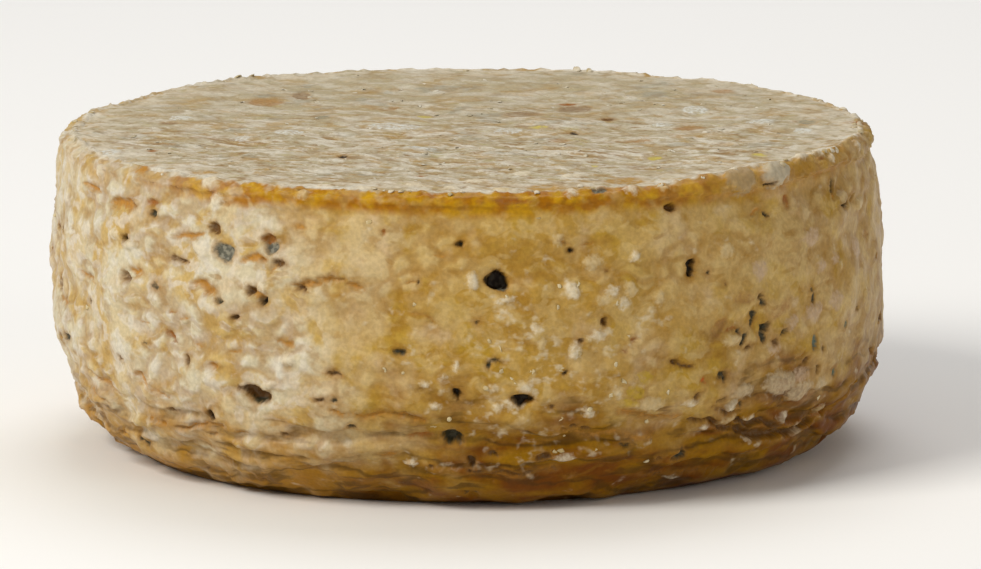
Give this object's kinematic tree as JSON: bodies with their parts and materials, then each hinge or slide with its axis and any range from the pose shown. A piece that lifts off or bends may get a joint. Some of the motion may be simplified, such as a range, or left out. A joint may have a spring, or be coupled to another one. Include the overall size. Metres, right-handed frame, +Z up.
{
  "type": "round natural-rind cheese wheel",
  "caption": "Round cheese wheel standing on its flat foot: swelling side pitted with eyes, chamfered foot edge, flat pressed top with an overhanging crust lip.",
  "frame": {"origin": "middle of the wheel's bounding box in plan, on the surface that its flat foot rests on", "axes": "+Z up along the wheel's short axis, -Y to the front that the picture shows, +X to the picture's right"},
  "size_m": [0.1914, 0.1908, 0.0724],
  "materials": {
    "rind": "natural washed rind: matte beige pressed top, satin amber and cream side"
  },
  "bodies": {
    "root": {"cheese_wheel": "rind"}
  },
  "joints": []
}
